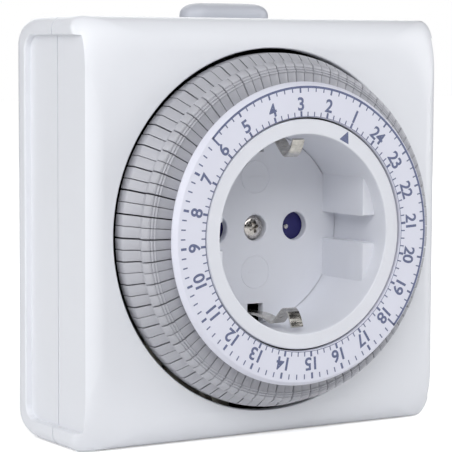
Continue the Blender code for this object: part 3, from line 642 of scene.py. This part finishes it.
def build_screw(name, head_r, head, tip, away, centre, node, slot):
    """Pan-head screw with a cross recess.

    head is the depths of the head's crown and of its seat; away is 1 for a head towards the wall and -1
    for one towards the front.
    """
    shank_r = 1.2
    height = abs(head[1] - head[0])
    steps = 8
    crown = [(head_r * math.sin(turn), head[0] - away * height * 0.7 * (1 - math.cos(turn)))
             for turn in (math.pi / 2 * i / steps for i in range(steps + 1))]
    shank = [(head_r, head[1]), (shank_r, head[1]), (shank_r, tip), (0, tip)]
    made = add_object(name, turned([(0, head[0])] + crown[1:] + shank, 48, centre), "screw")
    arm, half, taper = 0.6 * head_r, 0.13 * head_r, 0.5
    lean = math.radians(20)
    loops = []
    for size, depth in ((1.0, head[0] + away * 0.4), (taper, head[0] - away * 0.75 * height)):
        a, h = arm * size, half
        corners = [(h, h), (h, a), (-h, a), (-h, h), (-a, h), (-a, -h), (-h, -h), (-h, -a), (h, -a), (h, -h),
                   (a, -h), (a, h)]
        loops.append([point(centre[0] + x * math.cos(lean) - z * math.sin(lean), depth,
                            centre[1] + x * math.sin(lean) + z * math.cos(lean)) for x, z in corners])
    combine(made, [add_object("recess", loft(loops))], "DIFFERENCE")
    smooth_shape(made, 30)
    present(made, "housing", slot, node)


def build_screws():
    for number, place in enumerate(screw_places(), 1):
        build_screw(f"back_screw_{number}", head_r=2.6, head=(26.8, 24.8), tip=5.0, away=1, centre=place,
                    node=f"case_screw_{number}", slot="screw_steel")
    build_screw("outlet_screw", head_r=2.35, head=(6.75, 7.9), tip=25.0, away=-1, centre=(0, 0),
                node="centre_screw", slot="centre_screw_steel")


def build_pins():
    """The plug's two pins, each with a round nose."""
    steps = 10
    nose = [(PIN_R * math.cos(turn), PIN_TIP - PIN_R * (1 - math.sin(turn)))
            for turn in (math.pi / 2 * i / steps for i in range(steps))]
    for name, side in (("live_pin", 1), ("neutral_pin", -1)):
        body = turned([(0, PIN_TAIL), (PIN_R, PIN_TAIL)] + nose + [(0, PIN_TIP)], 56, (side * PIN_X, 0))
        pin = add_object(f"{name}_fine", body, "pin")
        present(pin, "housing", "nickel_plated", name)


# ---------------------------------------------------------------- outlet

def guide_block(side, end):
    """Block that keys the plug: a flat inner face, a soft front edge and its back in the cup's wall."""
    inner, low, outer = 16.4, 2.7, RECESS_R + 0.6
    high = math.sqrt(RECESS_R ** 2 - inner ** 2)
    outline = [(inner, low), (outer, low), (outer, high * 0.62), (RECESS_R - 0.4, high * 0.8),
               (inner + 0.9, high + 0.1), (inner, high)]
    sections = []
    front, foot, soft = -7.8, FLOOR + 0.5, 0.45
    for depth, pull in ((foot, 0), (front + soft, 0), (front + soft * 0.3, soft * 0.3), (front, soft)):
        placed = [(x + pull if x < inner + 0.5 else x, z + pull if z < low + 0.1 else z) for x, z in outline]
        sections.append([point(side * x, depth, end * z) for x, z in placed])
    return loft(sections)


def cup_profile(back):
    """The cup's section as (radius, depth): floor, wall, bezel, then back along the outside."""
    lip, steps = 0.3, 6
    groove, groove_floor = 0.16, FLOOR + 0.5       # fine line where the floor meets the wall
    wall_r = RECESS_R + 1.5
    hub_r, hub_back = 4.0, 10.2                    # the hub that the centre screw goes through
    inner_lip = arc((0, BEZEL_FRONT + lip), lip, 0, -math.pi / 2, steps)
    profile = [(0, FLOOR), (RECESS_R - groove, FLOOR), (RECESS_R - groove, groove_floor),
               (RECESS_R, groove_floor)]
    profile += [(RECESS_R + lip - a, b) for a, b in inner_lip]
    profile += arc((BEZEL_R - lip, BEZEL_FRONT + lip), lip, -math.pi / 2, 0, steps)
    profile += [(BEZEL_R, DIAL_BACK), (wall_r, DIAL_BACK), (wall_r, back), (hub_r, back),
                (hub_r, hub_back), (0, hub_back)]
    return profile


def cup_cutters(back):
    """Cutters of the pin holes, the centre screw's bore and the earth clips' slots."""
    soft = 0.18
    hole = [(0, FLOOR - 1), (PIN_HOLE_R + soft, FLOOR - 1), (PIN_HOLE_R + soft, FLOOR),
            (PIN_HOLE_R, FLOOR + soft), (PIN_HOLE_R, back + 1), (0, back + 1)]
    tools = [add_object("pin_hole", turned(hole, 64, (side * PIN_X, 0))) for side in (-1, 1)]
    head_r, shank_r, seat, bore_end = 2.65, 1.5, 8.2, 11
    bore = [(0, FLOOR - 1), (head_r + 0.2, FLOOR - 1), (head_r + 0.2, FLOOR), (head_r, FLOOR + soft),
            (head_r, seat), (shank_r, seat), (shank_r, bore_end), (0, bore_end)]
    tools.append(add_object("bore", turned(bore, 64)))
    half, low, high = 1.85, 15.3, 19.1
    for end in (-1, 1):
        slot = [(-half, end * low), (half, end * low), (half, end * high), (-half, end * high)]
        tools.append(add_object("slot", prism([slot], FLOOR - 1, back + 1, along_depth)))
    return tools


def build_cup():
    back = depth_of("shutter", 0) - 0.3
    cup = add_object("outlet_cup", turned(cup_profile(back), 192), "cup")
    blocks = [add_object("guide", guide_block(side, end)) for side in (-1, 1) for end in (-1, 1)]
    combine(cup, blocks, "UNION")
    combine(cup, cup_cutters(back), "DIFFERENCE")
    smooth_shape(cup, 30)
    weigh_normals(cup)
    present(cup, "housing", "insert_white", "socket_insert")


def build_floor_marks():
    """Two faint moulded rings on the outlet's floor, each with a plain bar."""
    shapes = []
    foot, top = FLOOR + 0.02, FLOOR - 0.09
    radius, half, bar_half = 3.3, 0.12, 1.6
    ring = [(radius - half, foot), (radius - half * 0.5, top), (radius + half * 0.5, top),
            (radius + half, foot)]
    for z in (10.2, -8.9):
        shapes.append(turned(ring, 72, (0, z)))
        bar = [(-bar_half, z - half), (bar_half, z - half), (bar_half, z + half), (-bar_half, z + half)]
        shapes.append(prism([bar], top, foot, along_depth))
    marks = merge("floor_marks", shapes, "cup")
    present(marks, "housing", "insert_white")


def strip_outline(width, thickness, ease=0.12):
    """Cross section of a strip as (x, lift), with its four edges eased."""
    half, thick = width / 2, thickness / 2
    return ((-half, -thick + ease), (-half + ease, -thick), (half - ease, -thick), (half, -thick + ease),
            (half, thick - ease), (half - ease, thick), (-half + ease, thick), (-half, thick - ease))


def strip(path, widths, thickness, bend=0.9, steps=4):
    """Bent strip along a path of (depth, z), with a width at each of the path's points."""
    spots = [Vector(place) for place in path]
    fine, spans = [spots[0]], [widths[0]]
    for i in range(1, len(spots) - 1):
        fine += rounding(spots[i - 1], spots[i], spots[i + 1], bend, steps)
        spans += [widths[i]] * (steps + 1)
    fine.append(spots[-1])
    spans.append(widths[-1])
    sections = []
    for i, spot in enumerate(fine):
        ahead = (fine[min(i + 1, len(fine) - 1)] - fine[max(i - 1, 0)]).normalized()
        side = Vector((-ahead.y, ahead.x))
        sections.append([point(x, *(spot + side * lift)) for x, lift in strip_outline(spans[i], thickness)])
    return loft(sections)


def build_earth_clips():
    """Sprung clips: bent to an S in the outlet's recess, then straight back to the plug's notches."""
    back, narrow, broad, thickness = CASE_DEPTH, 2.8, 5.0, 0.6
    path = [(-8.9, 18.4), (-8.1, 16.6), (-7.1, 15.4), (-6.1, 15.05), (-5.2, 15.45), (-2.4, 18.0),
            (-1.2, 18.2), (1.4, 17.5), (4.0, 17.2), (back - 0.6, 17.2), (back + 1.5, 16.6),
            (PLUG_FACE - 9, 17.0), (PLUG_FACE - 4.0, 16.9), (PLUG_FACE - 1.5, 16.2)]
    widths = [narrow if depth < back else broad for depth, z in path]
    for name, end in (("earth_strap_top", 1), ("earth_strap_bottom", -1)):
        shape = strip([(depth, end * z) for depth, z in path], widths, thickness)
        clip = add_object(f"{name}_fine", shape, "nickel", 40)
        present(clip, "housing", "nickel_plated", name)


def build_shutter():
    """Blue vane behind the pin holes, with a small crimped metal pin on each side."""
    reach, half, hub, bore = 13.2, 3.4, 5.6, 4.3
    front, back = depth_of("shutter", 0), depth_of("shutter", 1)
    outline = []
    for base in (0, math.pi):
        tip = math.asin(half / reach)
        neck = math.asin(half / hub)
        outline += arc((0, 0), reach, base - tip, base + tip, 10)
        outline += arc((0, 0), hub, base + neck, base + math.pi - neck, 16)
    shape = prism([outline, circle((0, 0), bore, 40)], front, back, along_depth)
    # the vane's blue carries painted shade of the holes it sits behind
    vane = add_object("shutter_vane", shape, "blue")
    present(vane, "shutter_vane", "shutter_blue", "shutter")
    studs = [turned([(0, front - 0.25), (0.45, front - 0.2), (0.6, front + 0.3), (0, front + 0.3)], 24,
                    (side * (PIN_X - 0.9), -0.2)) for side in (-1, 1)]
    present(merge("shutter_studs", studs, "screw"), "shutter_vane", "shutter_blue")


# ---------------------------------------------------------------- dial

def build_dial():
    """Ring with a flat face for the print and a bevelled rim."""
    lip, bevel = 0.18, 1.06
    profile = soften([(DIAL_BORE, DIAL_FRONT), (FACE_R, DIAL_FRONT), (DIAL_R, DIAL_FRONT + bevel),
                      (DIAL_R, DIAL_BACK), (DIAL_BORE, DIAL_BACK)], lip, 4)
    dial = add_object("dial_ring", turned(profile, 288), "dial")
    present(dial, "dial", "dial_white", "dial_face")


def sector(inner, outer, start, end, steps=1):
    """Flat piece of a ring, printed on the dial."""
    shape = bmesh.new()
    rows = [[shape.verts.new(polar_point(radius, PRINT_DEPTH, start + (end - start) * i / steps))
             for i in range(steps + 1)] for radius in (inner, outer)]
    for i in range(steps):
        shape.faces.new((rows[0][i], rows[0][i + 1], rows[1][i + 1], rows[1][i]))
    return shape


def tick(inner, outer, turn, width):
    """Straight radial mark of constant width."""
    shape = bmesh.new()
    across = Vector(polar(1, turn + math.pi / 2)) * width / 2
    corners = []
    for radius, side in ((inner, -1), (inner, 1), (outer, 1), (outer, -1)):
        x, z = Vector(polar(radius, turn)) + across * side
        corners.append(shape.verts.new(point(x, PRINT_DEPTH, z)))
    shape.faces.new(corners)
    return shape


def dial_marks():
    """Ticks each quarter hour at both edges; the night half's outer ticks hang from a bold arc."""
    first_day_mark, last_day_mark = 9 * 4, 21 * 4
    line_low, line_high = DIAL_BORE + 0.07, DIAL_BORE + 0.19
    shapes = [sector(line_low, line_high, 0, 2 * math.pi, 240)]
    night_start, night_end = PRINT_TURN - 3 * HOUR, PRINT_TURN + 9 * HOUR
    arc_low, arc_high, day_high = 28.35, 28.8, 28.3
    shapes.append(sector(arc_low, arc_high, night_start, night_end, 120))
    for turn in (night_start, night_end):
        shapes.append(tick(26.6, arc_high, turn, 0.42))
    for number in range(HOURS * 4):
        turn = PRINT_TURN + number * QUARTER
        on_hour = number % 4 == 0
        longer = 0.2 if on_hour else 0.0
        shapes.append(tick(22.9, 23.95 if on_hour else 23.8, turn, 0.46 if on_hour else 0.24))
        if number < first_day_mark or number > last_day_mark:
            shapes.append(tick(27.65 - longer, arc_low + 0.02, turn, 0.4 if on_hour else 0.24))
        elif number not in (first_day_mark, last_day_mark):
            shapes.append(tick(27.3 - longer, day_high, turn, 0.48 if on_hour else 0.26))
    return shapes


def numeral(number):
    """A numeral laid on the dial with its top outwards."""
    size, radius, boldness = 3.5, 25.2, 0.085
    curve = bpy.data.curves.new("numeral", "FONT")
    curve.body = str(number)
    curve.size = size
    curve.align_x = "CENTER"
    curve.align_y = "CENTER"
    curve.offset = boldness
    curve.space_character = 0.92
    curve.resolution_u = 6
    text = bpy.data.objects.new("numeral", curve)
    bpy.context.scene.collection.objects.link(text)
    bpy.context.view_layer.update()
    view = bpy.context.evaluated_depsgraph_get()
    mesh = bpy.data.meshes.new_from_object(text.evaluated_get(view), depsgraph=view)
    turn = PRINT_TURN + (3 - number) * HOUR
    stand = Matrix.Rotation(math.radians(90), 4, "X")
    x, z = polar(radius, turn)
    put = Matrix.Translation((x, FRONT + PRINT_DEPTH, z)) @ Matrix.Rotation(turn, 4, "Y") @ stand
    shape = bmesh.new()
    shape.from_mesh(mesh)
    bmesh.ops.transform(shape, matrix=Matrix.Scale(MM, 4) @ put, verts=shape.verts)
    bpy.data.objects.remove(text)
    return shape


def build_print():
    marks = merge("dial_marks", dial_marks(), "print")
    present(marks, "dial", "dial_white")
    numbers = merge("dial_numbers", [numeral(hour) for hour in range(1, HOURS + 1)], "print")
    present(numbers, "dial", "dial_white")


def build_pointer():
    """Triangle on the outlet's rim that the time is read against."""
    turn = math.radians(26.7)
    tip, base, half = 22.2, 19.95, 1.2
    shape = bmesh.new()
    across = Vector(polar(1, turn + math.pi / 2)) * half
    spots = [Vector(polar(tip, turn)), Vector(polar(base, turn)) + across, Vector(polar(base, turn)) - across]
    shape.faces.new([shape.verts.new(point(x, BEZEL_FRONT - FILM, z)) for x, z in spots])
    pointer = add_object("time_pointer", shape, "print")
    present(pointer, "housing", "insert_white")


# a tab's outline as (radius, depth): root, face under the dial, three ridges, bevel, finger groove, skirt;
# the skirt's end clears the reduction gear when a tab is pushed in
TAB_OUTLINE = [(27.0, -10.0), (27.8, -10.0), (28.0, -8.3), (31.35, -7.8), (31.45, -8.0), (31.7, -7.95),
               (31.8, -7.55), (31.95, -7.75), (32.2, -7.7), (32.3, -7.3), (32.45, -7.45), (32.9, -7.3),
               (33.55, -6.35), (33.6, -5.95), (32.95, -5.3), (32.95, -4.4), (33.6, -3.5), (34.9, -1.8),
               (35.1, -1.35), (35.12, 1.2), (34.0, 1.2), (34.0, 0.8), (27.6, 0.8), (27.0, 0.0)]


def tab(start, end, lift):
    """One tab between two angles, with eased side edges; lift moves it in depth."""
    ease, soft = 0.07, 0.16
    outline = soften(TAB_OUTLINE, soft, 2)
    centre = Vector((30.6, -4.2))        # a place inside the outline that the side edges ease towards
    sections = []
    near, far = ease * 0.4 / TAB_R, ease / TAB_R
    steps = ((start, ease), (start + near, ease * 0.35), (start + far, 0.0),
             (end - far, 0.0), (end - near, ease * 0.35), (end, ease))
    for turn, pull in steps:
        ring = []
        for spot in outline:
            inward = (centre - Vector(spot)).normalized() * pull
            ring.append(polar_point(spot[0] + inward.x, spot[1] + inward.y + lift, turn))
        sections.append(ring)
    return loft(sections)


def build_tabs():
    """Four tabs for each hour; wide and narrow slots take turns, and all tabs sit a little loose."""
    chance = random.Random(24)
    loose = 0.05
    wide, narrow = (0.12, 0.16), (0.05, 0.09)    # half widths of the slots
    numbers = range(HOURS * 4)
    borders = [TAB_TURN + number * QUARTER + chance.uniform(-loose, loose) / TAB_R for number in numbers]
    slots = [chance.uniform(*(wide if number % 2 else narrow)) for number in numbers]
    lifts = [chance.uniform(-loose, loose) for number in numbers]
    for hour in range(1, HOURS + 1):
        first = (3 - hour) * 4
        shapes = []
        for number in range(first, first + 4):
            index, following = number % (HOURS * 4), (number + 1) % (HOURS * 4)
            start = borders[index] + (number - index) * QUARTER + slots[index] / TAB_R
            end = borders[following] + (number + 1 - following) * QUARTER - slots[following] / TAB_R
            shapes.append(tab(start, end, lifts[index]))
        tabs = merge(f"hour_{hour:02d}_tabs", shapes, "tab", 40)
        present(tabs, f"hour_{hour:02d}", "tab_grey", f"tripper_hour_{hour:02d}")


# ---------------------------------------------------------------- button

def button_rows():
    """Levels of the button as (z, inset): the hidden flange, the straight sides and the crown."""
    crown, crown_inset, steps = 2.6, 4.0, 12
    flange_height, crown_drop = 1.2, 0.35
    shoulder = BUTTON_TOP - crown_drop - crown
    rows = [(FLANGE_TOP - flange_height, -FLANGE), (FLANGE_TOP, -FLANGE), (FLANGE_TOP, 0.0), (shoulder, 0.0)]
    for step in range(1, steps + 1):
        turn = math.pi / 2 * step / steps
        rows.append((shoulder + crown * math.sin(turn), crown_inset * (1 - math.cos(turn)) ** 1.2))
    return rows


def build_button():
    deepest_inset, least_corner = 3.3, 0.6
    sections = []
    for z, inset in button_rows():
        deep = BUTTON_HALF_DEEP - min(inset, deepest_inset)
        radius = max(min(BUTTON_CORNER - inset, deep - 0.05), least_corner)
        outline = rounded_rectangle(BUTTON_HALF - inset, deep, radius, (0, BUTTON_DEPTH), 10)
        sections.append([point(x, depth, z) for x, depth in outline])
    button = add_object("button_cap", loft(sections), "button", 50)
    stem_half, tip_half = 1.5, 0.6
    stem_bottom = edge("override_button", 0, 2)
    tip = stem_bottom + 2.0
    stem = [(-stem_half, FLANGE_TOP), (-stem_half, tip), (-tip_half, stem_bottom), (tip_half, stem_bottom),
            (stem_half, tip), (stem_half, FLANGE_TOP)]
    stem_shape = prism([[(BUTTON_DEPTH + a, z) for a, z in stem]], -stem_half, stem_half, along_x)
    combine(button, [add_object("stem", stem_shape)], "UNION")
    smooth_shape(button, 50)
    weigh_normals(button)
    present(button, "button", "button_grey", "override_button")


# ---------------------------------------------------------------- stage

def glow_away(nodes, start, end, near_glow=0.45):
    """The floor turns plain white away from the object, like paper that curves up behind it."""
    reach = nodes.tree.nodes.new("ShaderNodeVectorMath")
    reach.operation = "LENGTH"
    nodes.link(nodes.place, reach.inputs[0])
    glow = nodes.between(reach.outputs["Value"], near_glow, 1.0, start * MM, end * MM)
    seen = nodes.tree.nodes.new("ShaderNodeLightPath")
    only_seen = nodes.tree.nodes.new("ShaderNodeMath")
    only_seen.operation = "MULTIPLY"
    nodes.link(glow, only_seen.inputs[0])
    nodes.link(seen.outputs["Is Camera Ray"], only_seen.inputs[1])
    nodes.link(only_seen.outputs["Value"], nodes.shader.inputs["Emission Strength"])
    nodes.shader.inputs["Emission Color"].default_value = (1.0, 1.0, 1.0, 1.0)


def build_floor():
    half = 2.5
    z = CASE_BOTTOM * MM
    shape = bmesh.new()
    corners = ((-half, -half), (half, -half), (half, half), (-half, half))
    shape.faces.new([shape.verts.new((x, y, z)) for x, y in corners])
    nodes = Nodes("studio_floor", (0.95, 0.95, 0.95), 0.6)
    nodes.rough(nodes.noise(40.0), 0.55, 0.65)
    glow_away(nodes, 60.0, 200.0)
    LOOKS["floor"] = nodes.material
    floor = add_object("studio_floor", shape, "floor")


def area_light(name, spot, target, size, power):
    light = bpy.data.lights.new(name, "AREA")
    light.shape = "RECTANGLE"
    light.size, light.size_y = size
    light.energy = power
    lamp = bpy.data.objects.new(name, light)
    lamp.location = spot
    lamp.rotation_euler = (Vector(target) - Vector(spot)).to_track_quat("-Z", "Y").to_euler()
    bpy.context.scene.collection.objects.link(lamp)


# each soft box's place and size in metres, and its power in watts
SOFTBOXES = {
    "front_top_softbox": ((-0.1, -0.6, 0.55), (0.7, 0.5), 2.2),
    "front_left_softbox": ((-0.45, -0.6, 0.45), (0.5, 0.4), 2.6),
    "left_softbox": ((-0.85, 0.0, 0.3), (0.6, 0.6), 3.2),
    "right_softbox": ((0.75, -0.4, 0.25), (0.5, 0.6), 2.9),
    "top_softbox": ((0.0, 0.0, 0.85), (0.6, 0.6), 0.4),
    "back_softbox": ((0.35, 0.8, 0.35), (0.6, 0.6), 2.5),
}


def build_light():
    """A dark room, seen as plain white, with soft boxes in front, on both sides, above and behind."""
    world = bpy.data.worlds.new("studio")
    world.use_nodes = True
    tree = world.node_tree
    room = tree.nodes["Background"]
    room.inputs["Color"].default_value = (0.97, 0.98, 1.0, 1.0)
    room.inputs["Strength"].default_value = 0.03
    backdrop = tree.nodes.new("ShaderNodeBackground")
    backdrop.inputs["Strength"].default_value = 1.0
    backdrop.inputs["Color"].default_value = (1.0, 1.0, 1.0, 1.0)
    seen = tree.nodes.new("ShaderNodeLightPath")
    mix = tree.nodes.new("ShaderNodeMixShader")
    tree.links.new(seen.outputs["Is Camera Ray"], mix.inputs["Fac"])
    tree.links.new(room.outputs["Background"], mix.inputs[1])
    tree.links.new(backdrop.outputs["Background"], mix.inputs[2])
    tree.links.new(mix.outputs["Shader"], tree.nodes["World Output"].inputs["Surface"])
    bpy.context.scene.world = world
    for name, (spot, size, power) in SOFTBOXES.items():
        area_light(name, spot, point(0, 0, 0), size, power)
    bpy.context.scene.view_settings.view_transform = "Standard"


def build_camera():
    """Camera at the measured viewing angle, distance and framing."""
    place = point(-225.312, -342.065, 35.004)
    azimuth, elevation, roll = (math.radians(angle) for angle in (-32.234, 4.971, 0.263))
    right = Vector((math.cos(azimuth), math.sin(azimuth), 0))
    back = Vector((math.sin(azimuth) * math.cos(elevation), -math.cos(azimuth) * math.cos(elevation),
                   math.sin(elevation)))
    up = back.cross(right)
    across = right * math.cos(roll) + up * math.sin(roll)
    upright = up * math.cos(roll) - right * math.sin(roll)
    lens = bpy.data.cameras.new("camera")
    lens.sensor_width = 36.0
    lens.lens = 164.87
    lens.shift_x, lens.shift_y = -0.0126, 0.0155
    lens.clip_start = 0.01
    camera = bpy.data.objects.new("camera", lens)
    turn = Matrix((across, upright, back)).transposed().to_4x4()
    camera.matrix_world = Matrix.Translation(place) @ turn
    bpy.context.scene.collection.objects.link(camera)
    bpy.context.scene.camera = camera


def main():
    build_camera()
    build_light()
    build_floor()
    dress_inner_nodes()
    build_front_shell()
    build_rear_shell()
    build_seam()
    build_screws()
    build_pins()
    build_cup()
    build_floor_marks()
    build_earth_clips()
    build_shutter()
    build_dial()
    build_print()
    build_pointer()
    build_tabs()
    build_button()


main()
